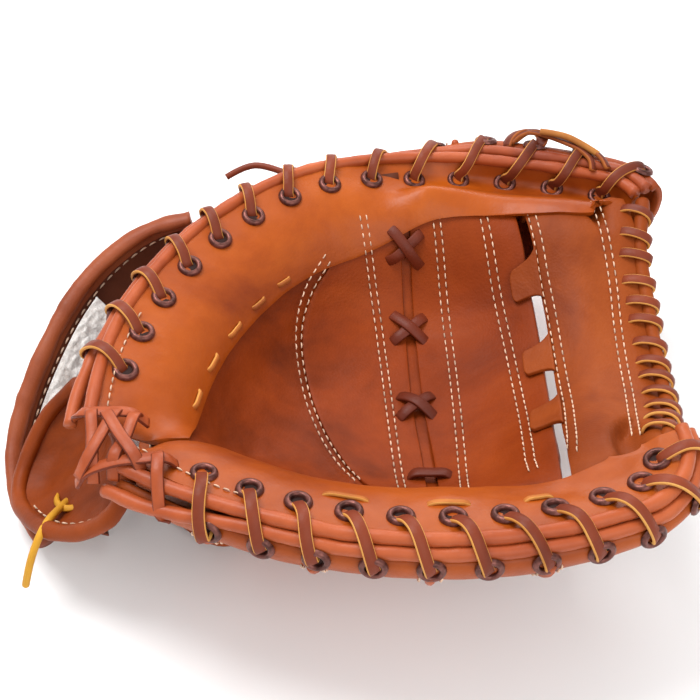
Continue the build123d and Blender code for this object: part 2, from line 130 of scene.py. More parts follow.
class Nodes:
    """Builds a node material a step at a time."""

    def __init__(self, name):
        self.material = bpy.data.materials.new(name)
        self.material.use_nodes = True
        self.tree = self.material.node_tree
        self.shader = self.tree.nodes["Principled BSDF"]
        self.place = self.tree.nodes.new("ShaderNodeTexCoord").outputs["Object"]

    def feed(self, socket, value):
        """Links an output, or sets a plain value."""
        if isinstance(value, bpy.types.NodeSocket):
            self.tree.links.new(value, socket)
        else:
            socket.default_value = value

    def add(self, kind, inputs=(), **settings):
        node = self.tree.nodes.new(kind)
        for key, value in settings.items():
            setattr(node, key, value)
        for key, value in dict(inputs).items():
            self.feed(node.inputs[key], value)
        return node

    def noise(self, scale, detail=4.0, roughness=0.55, distortion=0.0):
        settings = {"Vector": self.place, "Scale": scale, "Detail": detail, "Roughness": roughness}
        return self.add("ShaderNodeTexNoise", {**settings, "Distortion": distortion}).outputs["Fac"]

    def ramp(self, factor, stops):
        node = self.add("ShaderNodeValToRGB", {"Fac": factor})
        elements = node.color_ramp.elements
        while len(elements) < len(stops):
            elements.new(0.5)
        for element, (position, colour) in zip(elements, stops):
            element.position = position
            element.color = colour
        return node.outputs["Color"]

    def mix(self, factor, a, b):
        node = self.add("ShaderNodeMix", data_type="RGBA")
        for index, value in ((0, factor), (6, a), (7, b)):
            self.feed(node.inputs[index], value)
        return node.outputs[2]

    def math(self, operation, a, b=0.0):
        node = self.add("ShaderNodeMath", operation=operation)
        for socket, value in zip(node.inputs, (a, b)):
            self.feed(socket, value)
        return node.outputs[0]

    def set(self, name, value):
        self.feed(self.shader.inputs[name], value)

    def bump(self, *layers):
        """Stacks (height, strength, distance in metres) layers into the normal."""
        normal = None
        for height, strength, distance in layers:
            inputs = {"Height": height, "Strength": strength, "Distance": distance}
            if normal is not None:
                inputs["Normal"] = normal
            normal = self.add("ShaderNodeBump", inputs).outputs["Normal"]
        self.set("Normal", normal)


def leather(name, light, mid, dark, roughness=0.42, grain=0.35, shine=0.24):
    """Oiled leather: blotches of tone, pebbled grain and fine creases."""
    n = Nodes(name)
    blotch = n.noise(14.0, 5.0, 0.6, 0.6)
    fine = n.noise(160.0, 3.0, 0.6)
    colour = n.ramp(blotch, ((0.30, dark), (0.5, mid), (0.72, light)))
    colour = n.mix(n.math("MULTIPLY", fine, 0.28), colour, tuple(c * 0.6 for c in dark[:3]) + (1.0,))
    n.set("Base Color", colour)
    n.set("Roughness", n.math("ADD", n.math("MULTIPLY", n.noise(60.0), 0.22), roughness - 0.1))
    n.set("Specular IOR Level", shine)
    pebble = n.add("ShaderNodeTexVoronoi", {"Vector": n.place, "Scale": 900.0}, feature="SMOOTH_F1")
    crease = n.noise(55.0, 6.0, 0.65, 1.2)
    n.bump((crease, 0.30, 0.0006), (pebble.outputs["Distance"], grain, 0.00025), (fine, 0.25, 0.0002))
    return n.material


def metal(name, colour, roughness=0.35):
    """Dulled brass with tarnish in patches."""
    n = Nodes(name)
    patch = n.noise(300.0, 4.0, 0.6)
    dark = tuple(c * 0.35 for c in colour[:3]) + (1.0,)
    n.set("Base Color", n.ramp(patch, ((0.35, dark), (0.65, colour))))
    n.set("Metallic", 0.75)
    n.set("Roughness", n.math("ADD", n.math("MULTIPLY", patch, 0.25), roughness - 0.1))
    n.bump((n.noise(900.0), 0.2, 0.0002))
    return n.material


def thread(name, colour):
    """Waxed thread, twisted."""
    n = Nodes(name)
    twist = n.add("ShaderNodeTexWave", {"Vector": n.place, "Scale": 900.0, "Distortion": 2.0})
    dirty = tuple(c * 0.55 for c in colour[:3]) + (1.0,)
    n.set("Base Color", n.ramp(n.noise(120.0), ((0.35, dirty), (0.6, colour))))
    n.set("Roughness", 0.7)
    n.bump((twist.outputs["Fac"], 0.4, 0.0002))
    return n.material


def wool(name, light, dark):
    """Matted shearling."""
    n = Nodes(name)
    curl = n.noise(420.0, 8.0, 0.75, 1.5)
    clump = n.noise(75.0, 4.0, 0.6)
    n.set("Base Color", n.ramp(n.math("ADD", n.math("MULTIPLY", curl, 0.6), n.math("MULTIPLY", clump, 0.4)),
                               ((0.34, dark), (0.58, light))))
    n.set("Roughness", 0.95)
    n.set("Sheen Weight", 0.5)
    n.bump((clump, 0.6, 0.002), (curl, 0.9, 0.0012))
    return n.material


FLANK = leather("flank_leather", srgb(176, 84, 14), srgb(158, 70, 9), srgb(128, 50, 7), 0.4, 0.22)
POCKET = leather("pocket_leather", srgb(152, 64, 13), srgb(132, 51, 8), srgb(92, 33, 7), 0.52, 0.4, 0.14)
WEB_INNER = leather("web_inner_leather", srgb(148, 62, 13), srgb(130, 50, 8), srgb(104, 37, 7), 0.54, 0.5, 0.12)
WEB_OUTER = leather("web_outer_leather", srgb(152, 72, 24), srgb(138, 61, 16), srgb(116, 47, 12), 0.54, 0.5, 0.14)
ROLL = leather("roll_leather", srgb(186, 94, 50), srgb(166, 76, 35), srgb(128, 52, 24), 0.44, 0.25, 0.3)
BACK = leather("back_leather", srgb(178, 86, 28), srgb(160, 72, 20), srgb(126, 50, 14), 0.44, 0.35)
STRAP = leather("strap_leather", srgb(164, 84, 46), srgb(140, 64, 30), srgb(100, 42, 20), 0.5, 0.35, 0.3)
# Lining leather: its dark tone is partly the lining's own colour and partly painted shade for the shadow inside the
# strap and the wrist opening.
LINING_AND_SHADE = leather("lining_leather_and_painted_shade", srgb(104, 50, 26), srgb(86, 38, 18), srgb(58, 26, 12), 0.6, 0.3)
LACE = leather("lace_leather", srgb(136, 58, 28), srgb(116, 46, 21), srgb(84, 32, 15), 0.5, 0.3)
CUT_EDGE = leather("cut_edge", srgb(222, 168, 92), srgb(206, 144, 68), srgb(160, 98, 44), 0.7, 0.3)
RAWHIDE = leather("rawhide", srgb(226, 172, 56), srgb(206, 148, 38), srgb(160, 104, 28), 0.6, 0.3)
# Painted shade: a very dark brown for the disk that closes each eyelet's bore, standing in for the shadow down the
# hole.
BORE_SHADE = leather("eyelet_bore_painted_shade", srgb(58, 30, 24), srgb(44, 22, 18), srgb(26, 12, 10), 0.7, 0.1)
LACE_DARK = leather("cross_lace_leather", srgb(116, 46, 22), srgb(98, 36, 16), srgb(72, 26, 12), 0.5, 0.3)
CREASE_LACE = leather("crease_lace_leather", srgb(196, 122, 56), srgb(176, 100, 40), srgb(130, 62, 24), 0.6, 0.3)
FLAP = leather("flap_leather", srgb(150, 66, 18), srgb(126, 52, 12), srgb(88, 34, 9), 0.5, 0.35, 0.14)
EYELET = metal("eyelet_metal", srgb(122, 74, 66), 0.38)
THREAD = thread("thread", srgb(226, 190, 162))
FLEECE = wool("fleece_wool", srgb(248, 244, 240), srgb(186, 172, 162))


# ---- meshes ------------------------------------------------------------------------------------------------
def make_object(name, points, faces, materials, face_materials=None, smooth=True):
    """A mesh object from points in millimetres."""
    mesh = bpy.data.meshes.new(name)
    mesh.from_pydata([tuple(float(c) * MM for c in p) for p in points], [], [tuple(map(int, f)) for f in faces])
    for material in materials if isinstance(materials, (list, tuple)) else [materials]:
        mesh.materials.append(material)
    if face_materials is not None:
        mesh.polygons.foreach_set("material_index", np.asarray(face_materials, np.int32))
    if smooth:
        mesh.polygons.foreach_set("use_smooth", np.ones(len(mesh.polygons), bool))
    mesh.update()
    obj = bpy.data.objects.new(name, mesh)
    bpy.context.scene.collection.objects.link(obj)
    return obj


def grid_faces(rows, columns, wrap_rows=False, wrap_columns=False):
    faces = []
    for i in range(rows if wrap_rows else rows - 1):
        for j in range(columns if wrap_columns else columns - 1):
            a, b = i * columns + j, i * columns + (j + 1) % columns
            c, d = ((i + 1) % rows) * columns + (j + 1) % columns, ((i + 1) % rows) * columns + j
            faces.append((a, d, c, b))
    return faces


def apply_modifiers(obj):
    """Bakes an object's modifiers into its mesh."""
    bpy.context.view_layer.update()
    graph = bpy.context.evaluated_depsgraph_get()
    mesh = bpy.data.meshes.new_from_object(obj.evaluated_get(graph))
    obj.modifiers.clear()
    obj.data = mesh
    return obj


def thicken(obj, thickness, bevel=0.0, face=(0, 0, 1)):
    """Gives a sheet its thickness, away from the side that it shows, and softens its edges."""
    shown = sum((polygon.normal * polygon.area for polygon in obj.data.polygons), Vector())
    if shown.dot(Vector(face)) < 0:
        obj.data.flip_normals()
    solid = obj.modifiers.new("solid", "SOLIDIFY")
    solid.thickness = thickness * MM
    solid.offset = -1.0
    solid.use_even_offset = False
    if bevel:
        round_edges = obj.modifiers.new("bevel", "BEVEL")
        round_edges.width = bevel * MM
        round_edges.segments = 2
        round_edges.limit_method = "ANGLE"
        round_edges.angle_limit = math.radians(50)
    return apply_modifiers(obj)


def unit(v):
    v = np.asarray(v, float)
    return v / max(np.linalg.norm(v), 1e-9)


def smooth_path(points, step):
    """A Catmull-Rom curve through given points, sampled about every step."""
    p = np.asarray(points, float)
    p = np.vstack((2 * p[0] - p[1], p, 2 * p[-1] - p[-2]))
    result = []
    for i in range(1, len(p) - 2):
        count = max(2, int(np.linalg.norm(p[i + 1] - p[i]) / step))
        for t in np.arange(count) / count:
            a, b, c, d = p[i - 1 : i + 3]
            square, cube = 2 * a - 5 * b + 4 * c - d, 3 * b - a - 3 * c + d
            result.append(0.5 * (2 * b + (c - a) * t + square * t**2 + cube * t**3))
    result.append(p[-2])
    return np.array(result)


def travel(path):
    """How far along a path each of its points is."""
    return np.concatenate(((0,), np.cumsum(np.linalg.norm(np.diff(path, axis=0), axis=1))))


def resample(points, count):
    """A smooth plan line through points, as count evenly spaced ones."""
    dense = smooth_path([(a, b, 0) for a, b in points], 1.0)[:, :2]
    lengths = travel(dense)
    wanted = np.linspace(0, lengths[-1], count)
    return np.stack([np.interp(wanted, lengths, dense[:, k]) for k in (0, 1)], 1)


def frames_along(path, up):
    """(tangent, side, normal) at each point, with the normal kept near up, which is one vector or one a point."""
    path = np.asarray(path, float)
    tangents = np.gradient(path, axis=0)
    ups = np.broadcast_to(np.asarray(up, float), path.shape)
    result = []
    for t, u in zip(tangents, ups):
        t = unit(t)
        side = unit(np.cross(t, u))
        result.append((t, side, np.cross(side, t)))
    return result


def tube_mesh(path, radius, up=UP, sides=14, squash=1.0):
    """Points and faces of a closed tube along a path; radius is one value or one a point."""
    path = np.asarray(path, float)
    radii = np.broadcast_to(np.asarray(radius, float), (len(path),))
    points = []
    for p, r, (_, side, normal) in zip(path, radii, frames_along(path, up)):
        for k in range(sides):
            angle = 2 * math.pi * k / sides
            points.append(p + side * (r * math.cos(angle)) + normal * (r * squash * math.sin(angle)))
    faces = grid_faces(len(path), sides, wrap_columns=True)
    faces.append(tuple(range(sides)))
    faces.append(tuple(range(len(points) - 1, len(points) - 1 - sides, -1)))
    return np.array(points), faces


def ribbon_mesh(path, up, width, thick):
    """A flat lace along a path: rounded faces in material 0 and cut edges in material 1."""
    half, edge = width / 2, thick / 2
    outline = ((-half, -0.5 * edge), (-half, 0.5 * edge), (-0.86 * half, edge), (0, 1.15 * edge), (0.86 * half, edge),
               (half, 0.5 * edge), (half, -0.5 * edge), (0.86 * half, -edge), (0, -edge), (-0.86 * half, -edge))
    cut = {0, 1, 4, 5, 6, 9}
    points = []
    for p, (_, side, normal) in zip(path, frames_along(path, up)):
        points += [p + side * a + normal * b for a, b in outline]
    columns = len(outline)
    faces = grid_faces(len(path), columns, wrap_columns=True)
    kinds = [1 if j in cut else 0 for _ in range(len(path) - 1) for j in range(columns)]
    faces += [tuple(range(columns)), tuple(range(len(points) - 1, len(points) - 1 - columns, -1))]
    kinds += [1, 1]
    return np.array(points), faces, kinds


class Batch:
    """Gathers many small meshes into one object."""

    def __init__(self):
        self.points, self.faces, self.kinds = [], [], []

    def add(self, points, faces, kinds=None):
        start = len(self.points)
        self.points += list(points)
        self.faces += [tuple(i + start for i in face) for face in faces]
        self.kinds += list(kinds) if kinds is not None else [0] * len(faces)

    def build(self, name, materials):
        return make_object(name, self.points, self.faces, materials, self.kinds)


# ---- rim lines and surfaces --------------------------------------------------------------------------------
def smoothstep(t):
    t = min(max(t, 0.0), 1.0)
    return t * t * (3 - 2 * t)


class Rim:
    """One side's rim line: tangent arcs, with a section that tips outward towards its tip."""

    def __init__(self, start, heading, arcs, turn, tip_from=1e9, tip_angle=0.0, dip=0.0):
        self.turn, self.pieces, self.tip_from, self.tip_angle, self.dip = turn, [], tip_from, tip_angle, dip
        x, y, s, h = start[0], start[1], 0.0, math.radians(heading)
        for radius, degrees in arcs:
            centre = (x - turn * radius * math.sin(h), y + turn * radius * math.cos(h))
            sweep = math.radians(degrees)
            self.pieces.append((s, h, radius, centre))
            s += radius * sweep
            h += turn * sweep
            x, y = centre[0] + turn * radius * math.sin(h), centre[1] - turn * radius * math.cos(h)
        self.length = s
        self.line = np.array([self.at(s)[0] for s in np.arange(0, self.length, 1.0)])

    def at(self, s):
        """Plan point, heading and inward direction at a distance along the rim; before 0 it runs straight."""
        s0, h0, radius, centre = [p for p in self.pieces if p[0] <= max(s, 0.0)][-1]
        h = h0 + self.turn * (max(s, 0.0) - s0) / radius
        point = np.array((centre[0] + self.turn * radius * math.sin(h), centre[1] - self.turn * radius * math.cos(h)))
        along = np.array((math.cos(h), math.sin(h)))
        if s < 0:
            point = point + along * s
        return point, along, np.array((-along[1], along[0])) * self.turn

    def tip(self, s):
        t = min(max((s - self.tip_from) / 70.0, 0.0), 1.0)
        return self.tip_angle * t * t * (3 - 2 * t)

    def section(self, s, inward, height):
        """The 3-D point at (inward, height) from the rim line."""
        point, _, across = self.at(s)
        fade = math.exp(-(max(inward - 8.0, 0.0) / 12.0) ** 2 - (max(-height - 14.0, 0.0) / 15.0) ** 2)
        angle = self.tip(s) * fade
        a = inward * math.cos(angle) - height * math.sin(angle)
        z = inward * math.sin(angle) + height * math.cos(angle)
        drop = 0.03 * min(s, 0.0) ** 2 + self.dip * smoothstep((s - 175.0) / 60.0)
        return np.array((*(point + across * a), RIM_HEIGHT + z - drop))

    def out(self, s, tilt):
        """Direction out of the leather: tilt degrees from straight up towards the pocket."""
        across = self.at(s)[2]
        angle = math.radians(tilt) - self.tip(s)
        return np.array((*(across * math.sin(angle)), math.cos(angle)))


THUMB_RIM = Rim((-108, -48.5), 90, ((185, 41), (139, 57), (460, 8.2), (20, 62)), -1, 215.0, math.radians(-62), 5.0)
FINGER_RIM = Rim((-85, -78), -32, ((226, 41), (196, 13), (34, 83)), 1)
RIMS = {THUMB: THUMB_RIM, FINGER: FINGER_RIM}
FIRST_EYELET = {THUMB: 24.5, FINGER: 26.0}

profile = np.array(PALM_PROFILE, float)
PROFILE_X = np.arange(0, 140, 1.0)
kernel = np.exp(-0.5 * (np.arange(-9, 10) / 3.0) ** 2)
PROFILE_Z = np.convolve(
    np.pad(np.interp(PROFILE_X, profile[:, 0], profile[:, 1]), 9, mode="edge"), kernel / kernel.sum(), mode="valid"
)


def across_fold(x, y):
    return (x - FOLD_POINT[0]) * FOLD_ACROSS[0] + (y - FOLD_POINT[1]) * FOLD_ACROSS[1]


def rim_distance(x, y):
    """How far a plan point is from the nearer rim line, smooth where the two are equally near."""
    a = np.hypot(THUMB_RIM.line[:, 0] - x, THUMB_RIM.line[:, 1] - y).min()
    b = np.hypot(FINGER_RIM.line[:, 0] - x, FINGER_RIM.line[:, 1] - y).min()
    return -4.0 * math.log(math.exp(-a / 4.0) + math.exp(-b / 4.0))


def surface(x, y):
    """Height of the palm and web above a plan point, from the rim plane."""
    z = float(np.interp(rim_distance(x, y), PROFILE_X, PROFILE_Z))
    t = smoothstep((x - 30.0) / 85.0)
    across = ((y - 8.0) / 66.0) ** 2
    if across > 0.8:
        across = 1.05 - 0.25 * math.exp((0.8 - across) / 0.25)
    hang = -36.0 + 26.0 * t - (22.0 + 2.0 * t) * (1 - across)
    z = z * (1 - t) + hang * t
    notch = math.exp(-((x + 97.0) ** 2 + (y + 63.0) ** 2) / 18.0**2)
    return z - 14.0 * notch


def on_surface(x, y, lift=0.0):
    """The 3-D point lifted off the palm or web along its normal, and that normal."""
    e = 0.7
    z = surface(x, y)
    normal = unit((surface(x - e, y) - surface(x + e, y), surface(x, y - e) - surface(x, y + e), 2 * e))
    return np.array((x, y, RIM_HEIGHT + z)) + normal * lift, normal


def wrinkle(p, size, height, seed=0.0):
    """Soft dents and folds, as a signed height."""
    q = Vector((p[0] / size + seed, p[1] / size, p[2] / size))
    return height * noise.fractal(q, 0.7, 2.0, 3)


SETTLE = 3.0 * MM


def settle(obj):
    """Flattens what the leather's own weight presses on the floor, so that nothing goes below it."""
    for vertex in obj.data.vertices:
        if vertex.co.z < SETTLE:
            vertex.co.z = max((vertex.co.z + SETTLE) / 2, 0.0)


def finish_piece(obj, body, *nodes, slot=None):
    """Rides a body, or has its transform baked in where body is None, and stands for CAD nodes."""
    settle(obj)
    if body is None:
        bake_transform(obj)
    else:
        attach(obj, body)
    if nodes:
        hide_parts(*nodes)
    return obj


# ---- loose lace ends, in millimetres; rim_tail_thumb is longer here, and bowl_tail_thumb starts closer in ---
TAILS = {
    "rim_tail_thumb": ((96.0, 128.0, 103.0), (104.5, 125.0, 104.0), (113.5, 121.5, 102.5), (124.0, 115.2, 98.6)),
    "bowl_tail_thumb": ((-30.0, 106.0, 93.0), (-42.0, 112.5, 94.0), (-53.0, 113.0, 93.0), (-62.0, 109.0, 89.0)),
    "flap_tail": ((-126, -46, 30.5), (-128, -56, 37), (-131, -66, 41.5), (-135, -75.5, 37), (-139, -80, 26),
                  (-142, -80.5, 15)),
}
TAIL_DIAMETER = 3.4


def curve_length(obj):
    mesh = bpy.data.meshes.new_from_object(obj)
    line = np.array([v.co for v in mesh.vertices])
    bpy.data.meshes.remove(mesh)
    return float(np.linalg.norm(np.diff(line, axis=0), axis=1).sum())


def lay_tail(name, route, material):
    data = bpy.data.curves.new(name, "CURVE")
    data.dimensions = "3D"
    spline = data.splines.new("NURBS")
    spline.points.add(len(route) - 1)
    for point, place in zip(spline.points, route):
        point.co = (*(c * MM for c in place), 1.0)
    spline.order_u = 3
    spline.use_endpoint_u = True
    spline.resolution_u = 16
    obj = bpy.data.objects.new(name + "_cord", data)
    bpy.context.scene.collection.objects.link(obj)
    length = curve_length(obj)
    data.bevel_depth = TAIL_DIAMETER / 2 * MM
    data.bevel_resolution = 3
    data.use_fill_caps = True
    data.materials.append(material)
    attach(obj, THUMB)
    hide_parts(name)


place_camera()
tail_materials = {"rim_tail_thumb": CUT_EDGE, "bowl_tail_thumb": LACE, "flap_tail": RAWHIDE}
for tail_name, tail_route in TAILS.items():
    lay_tail(tail_name, tail_route, tail_materials[tail_name])
place_lights()


def make_floor():
    n = Nodes("floor")
    n.set("Base Color", n.ramp(n.noise(3.0), ((0.3, (0.86, 0.86, 0.86, 1)), (0.7, (0.9, 0.9, 0.9, 1)))))
    n.set("Roughness", 0.9)
    points = [(x, y, -0.4) for y in (-3000, 3000) for x in (-3000, 3000)]
    make_object("floor", points, [(0, 1, 3, 2)], n.material, smooth=False)


make_floor()


# ---- flanks ------------------------------------------------------------------------------------------------
FLANK_COLUMNS = 34
FLANK_START = 1.5
FLANK_BLEND_FROM = 9.0  # inward of the rim, where a flank starts to turn from its own curve to the pocket's
FLANK_PROUD, FLANK_PROUD_WEB = 1.2, 2.6  # how far its edge stands over the pocket, and the extra over the web


def flank_reach(body, s):
    """How far in a flank goes before its edge: short at the tips, and up to the fold at the heel."""
    rim = RIMS[body]
    point, _, inward = rim.at(s)
    if body == THUMB:
        reach = CREASE - 12 * smoothstep((s - 190) / 115) - 10 * smoothstep((s - 325) / 35)
    else:
        reach = CREASE - 12 * smoothstep((s - 130) / 60) - 14 * smoothstep((s - 228) / 28)
    gap = SIGN[body] * across_fold(*point)
    towards = -SIGN[body] * float(inward @ FOLD_ACROSS)
    if towards > 0.05:
        reach = min(reach, (gap - 1.0) / towards)
    return reach


def flank_point(body, s, a):
    """A point of the flank: the padded rim's own curve near the edge, and proud of the pocket at the crease."""
    p = RIMS[body].section(s, a, float(np.interp(a, PROFILE_X, PROFILE_Z)))
    over_web = smoothstep((p[0] - 15.0) / 25.0)
    floor = RIM_HEIGHT + surface(p[0], p[1]) + FLANK_PROUD + FLANK_PROUD_WEB * over_web
    blend = smoothstep((a - FLANK_BLEND_FROM) / max(flank_reach(body, s) - FLANK_BLEND_FROM, 8.0))
    p = p + UP * (floor - p[2]) * blend
    p = p + UP * max(floor - p[2], 0.0) * over_web * smoothstep((a - 17.0) / 9.0)
    return p + UP * (wrinkle(p, 34.0, 0.7) + wrinkle(p, 11.0, 0.18, 7.0))


def flank_frame(body, s, a):
    """A point of the flank and its outward normal."""
    p = flank_point(body, s, a)
    along = flank_point(body, s + 1.0, a) - flank_point(body, s - 1.0, a)
    across = flank_point(body, s, a + 1.0) - flank_point(body, s, a - 1.0)
    normal = unit(np.cross(along, across))
    return p, normal if normal[2] > 0 else -normal


def make_flank(body):
    stations = np.arange(-8, RIMS[body].length + 0.1, 2.2)
    points = []
    for s in stations:
        reach = flank_reach(body, s)
        for t in np.linspace(0, 1, FLANK_COLUMNS):
            edge = math.exp(-((1 - t) * (reach - FLANK_START) / 3.0) ** 2)
            points.append(flank_point(body, s, FLANK_START + (reach - FLANK_START) * t) - UP * 0.5 * edge)
    obj = make_object("palm_flank_" + body, points, grid_faces(len(stations), FLANK_COLUMNS), FLANK)
    thicken(obj, SHELL_LEATHER, bevel=0.7)
    finish_piece(obj, body, "palm_leather_" + SIDE[body], "felt_padding_" + SIDE[body], slot="shell_leather")


make_flank(THUMB)
make_flank(FINGER)


# ---- pocket and web ----------------------------------------------------------------------------------------
LINE_B = ((24.5, 90.0), (27.4, 51.4), (29.6, 4.6), (33.0, -30.0), (35.0, -74.0))
LINE_B2 = ((29.0, 90.0), (32.0, 51.4), (34.5, 4.6), (38.0, -30.0), (40.0, -74.0))
LINE_C = ((42.0, 90.0), (46.5, 66.9), (49.1, 37.7), (50.5, -5.8), (50.5, -41.1), (49.0, -66.0))
LINE_D = ((65.0, 93.0), (72.5, 60.9), (76.9, 28.9), (79.1, -10.2), (78.5, -40.0), (77.0, -62.0))
LINE_E = ((80.5, 95.0), (86.0, 62.5), (89.5, 30.0), (90.0, -11.0), (88.0, -38.0), (85.5, -74.0))
LINE_E2 = ((84.5, 95.0), (90.5, 62.5), (93.8, 30.0), (93.8, -11.0), (91.5, -38.0), (89.0, -75.0))
LINE_F = ((88.0, 94.0), (94.6, 55.5), (97.5, 24.7), (97.6, -14.4), (95.0, -40.0), (92.1, -60.0))
LINE_G = ((119.0, 90.0), (124.5, 55.2), (125.0, 25.5), (123.8, -12.0), (120.5, -38.0), (116.8, -58.0))
LINE_H = ((134.5, 92.0), (139.5, 64.0), (141.0, 36.0), (141.0, 8.0), (138.0, -30.0), (129.0, -72.0))
LINE_A = ((6.0, 86.0), (12.9, 57.3), (16.1, 32.4), (19.2, -4.6), (21.6, -34.9), (24.0, -64.0))
CRESCENT = ((-8.3, 66.0), (-18.5, 50.9), (-22.7, 34.6), (-19.0, 11.3), (-11.6, -11.0), (-3.6, -28.1), (6.0, -44.0))


def crease_line(body, first, last, count):
    """The plan line that the pocket tucks under a flank along."""
    rim = RIMS[body]
    line = []
    for s in np.linspace(first, last, count):
        point, _, inward = rim.at(s)
        line.append(point + inward * (flank_reach(body, s) - 6.0))
    return np.array(line)


TUCK_FROM, TUCK_OVER, TUCK_DEPTH = 28.0, 8.0, 9.0


def panel(name, left, right, rows, columns, lift, thickness, material, puff=0.0):
    """A leather panel between two plan lines, on the surface and raised by lift."""
    a, b = resample(left, rows), resample(right, rows)
    points = []
    for i in range(rows):
        for j in range(columns):
            t = j / (columns - 1)
            x, y = a[i] + (b[i] - a[i]) * t
            p, normal = on_surface(x, y, lift)
            crown = puff * (1 - (2 * t - 1) ** 4)
            under = smoothstep((TUCK_FROM - rim_distance(x, y)) / TUCK_OVER)
            tuck = TUCK_DEPTH * under * smoothstep((128.0 - x) / 12.0)
            points.append(p + normal * (crown + wrinkle(p, 22.0, 0.45, len(name))) - UP * tuck)
    obj = make_object(name, points, grid_faces(rows, columns), material)
    return thicken(obj, thickness, bevel=EDGE_ROUND)


def make_pocket():
    """The bowl's own leather, from the heel to the first web panel, in ribs from crease to crease."""
    rows, columns = 70, 60
    thumb_edge = crease_line(THUMB, 6.0, 240.0, rows)
    finger_edge = crease_line(FINGER, 0.0, 133.0, rows)
    points = []
    for a, b in zip(thumb_edge, finger_edge):
        for t in np.linspace(0, 1, columns):
            x, y = a + (b - a) * t
            p, normal = on_surface(x, y, -2.2)
            points.append(p + normal * (wrinkle(p, 30.0, 0.8, 3.0) + wrinkle(p, 9.0, 0.2, 5.0)))
    obj = thicken(make_object("pocket_leather", points, grid_faces(rows, columns), POCKET), SHELL_LEATHER)
    finish_piece(obj, None, "palm_floor", "floor_felt", slot="pocket_leather")


make_pocket()
finish_piece(panel("pocket_crescent", CRESCENT, LINE_B, 60, 22, -0.2, 2.0, POCKET), None, slot="pocket_leather")
finish_piece(panel("web_inner_panel", LINE_B2, LINE_E, 64, 26, 0.0, THICK_LEATHER, WEB_INNER, 1.0), None,
             "web_inner_panel_thumb", "web_inner_panel_finger", slot="pocket_leather")
finish_piece(panel("web_outer_panel", LINE_E2, LINE_H, 64, 22, 0.6, THICK_LEATHER, WEB_OUTER, 1.0), None,
             "web_outer_panel_thumb", "web_outer_panel_finger", slot="pocket_leather")


# ---- rim: rolled welts, eyelets and laces ------------------------------------------------------------------
HEEL_SPREAD = {THUMB: ((2.0, -0.5), (-3.0, -3.0)), FINGER: ((-2.5, -0.5), (-6.5, -4.0))}


def make_rolls(body, side):
    """Two rolled welts that run together round the rim and part towards the heel."""
    rim = RIMS[body]
    stations = np.arange(-3.5 if body == THUMB else -7, rim.length + 0.1, 1.8)
    spreads = HEEL_SPREAD[body]
    for name, place, spread in (("palm", PALM_ROLL, spreads[0]), ("back", BACK_ROLL, spreads[1])):
        path, ups, radii = [], [], []
        for s in stations:
            part = smoothstep((55.0 - s) / 55.0)
            a, z = place[0] + spread[0] * part, place[1] + spread[1] * part
            p = rim.section(s, a, z)
            path.append(p + UP * wrinkle(p, 40.0, 0.8, 9.0))
            ups.append(rim.out(s, 0.0))
            radii.append(ROLL_RADIUS * (1 + wrinkle(p, 9.0, 0.10, 2.0)))
        points, faces = tube_mesh(path, radii, ups, 16)
        obj = make_object(f"{name}_roll_{side}", points, faces, ROLL)
        finish_piece(obj, body, f"{name}_welt_{side}", slot="welt_leather")


def eyelet_mesh(centre, out):
    """A rolled ring with a disk in painted shade closing its bore, as points, faces and material kinds."""
    outline = ((3.0, -1.5), (3.0, 0.7), (3.4, 1.35), (4.1, 1.7), (4.9, 1.45), (5.5, 0.8), (5.75, -0.2))
    side = unit(np.cross(out, (1, 0.2, 0)))
    other = np.cross(out, side)
    count = 26
    points = []
    for k in range(count):
        angle = 2 * math.pi * k / count
        radial = side * math.cos(angle) + other * math.sin(angle)
        points += [centre + radial * r + out * h for r, h in outline]
    faces = grid_faces(count, len(outline), wrap_rows=True)
    kinds = [0] * len(faces)
    # The disk across the bore takes the painted-shade material.
    start = len(points)
    points += [points[k * len(outline)] + out * 1.1 for k in range(count)]
    faces.append(tuple(range(start, start + count)))
    kinds.append(1)
    return points, faces, kinds


def eyelet_stations(body, shift):
    last = RIMS[body].length - (2.0 if body == THUMB else 4.0)
    return np.arange(FIRST_EYELET[body] + shift, last, EYELET_PITCH[body])


def make_eyelets(body, side):
    rim = RIMS[body]
    palm, back = Batch(), Batch()
    for s in eyelet_stations(body, 0.0):
        p, normal = flank_frame(body, s, PALM_EYELET)
        palm.add(*eyelet_mesh(p + normal * 0.4, normal))
    for s in eyelet_stations(body, LACE_SHIFT):
        out = rim.out(s, -84.0)
        back.add(*eyelet_mesh(rim.section(s, *BACK_EYELET) + out * 0.4, out))
    for name, batch in (("palm", palm), ("back", back)):
        obj = batch.build(f"{name}_eyelets_{side}", [EYELET, BORE_SHADE])
        finish_piece(obj, body, f"{name}_eyelets_{side}", slot="eyelet_metal")


LACE_ROUTE = (
    (2.4, 6.8, 2.0), (4.8, 2.6, 4.2), (6.8, -1.6, 3.6), (8.6, -5.4, 0.6), (10.2, -8.2, -3.4), (11.4, -9.6, -7.0),
    (12.0, -9.4, -9.6), (12.2, -6.8, -10.6), (12.2, -2.6, -10.6),
)


